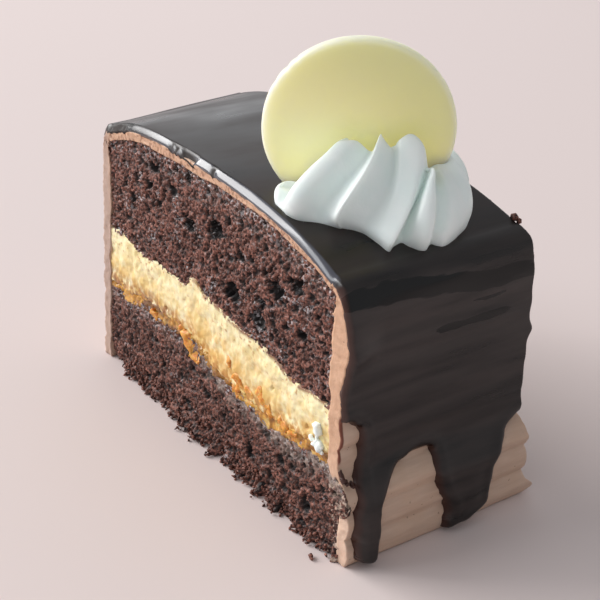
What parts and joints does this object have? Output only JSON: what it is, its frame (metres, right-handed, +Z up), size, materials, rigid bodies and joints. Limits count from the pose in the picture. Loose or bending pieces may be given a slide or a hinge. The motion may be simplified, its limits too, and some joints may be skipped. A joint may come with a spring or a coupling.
{
  "type": "slice of layered sponge cake",
  "caption": "Slice of chocolate and vanilla sponge cake with marmalade, mocha cream, dripping chocolate glaze, a piped cream swirl and a white chocolate disc.",
  "frame": {"origin": "middle of the underside of the slice's bounding box", "axes": "+X along the slice to the end with the long drips, -Y out of the front cut face, +Z up"},
  "size_m": [0.101, 0.0436, 0.0883],
  "materials": {
    "chocolate_sponge": "open, moist crumb",
    "marmalade": "wet, half clear",
    "vanilla_sponge": "open, soft crumb",
    "mocha_cream": "smooth, combed",
    "chocolate_glaze": "satin gloss",
    "whipped_cream": "soft, piped",
    "white_chocolate": "satin"
  },
  "bodies": {
    "root": {"sponge_bottom_chocolate": "chocolate_sponge", "filling_marmalade": "marmalade", "sponge_middle_vanilla": "vanilla_sponge", "sponge_top_chocolate": "chocolate_sponge", "coat_mocha_cream": "mocha_cream", "glaze_dark_chocolate": "chocolate_glaze", "swirl_whipped_cream": "whipped_cream", "disc_white_chocolate": "white_chocolate"}
  },
  "joints": []
}
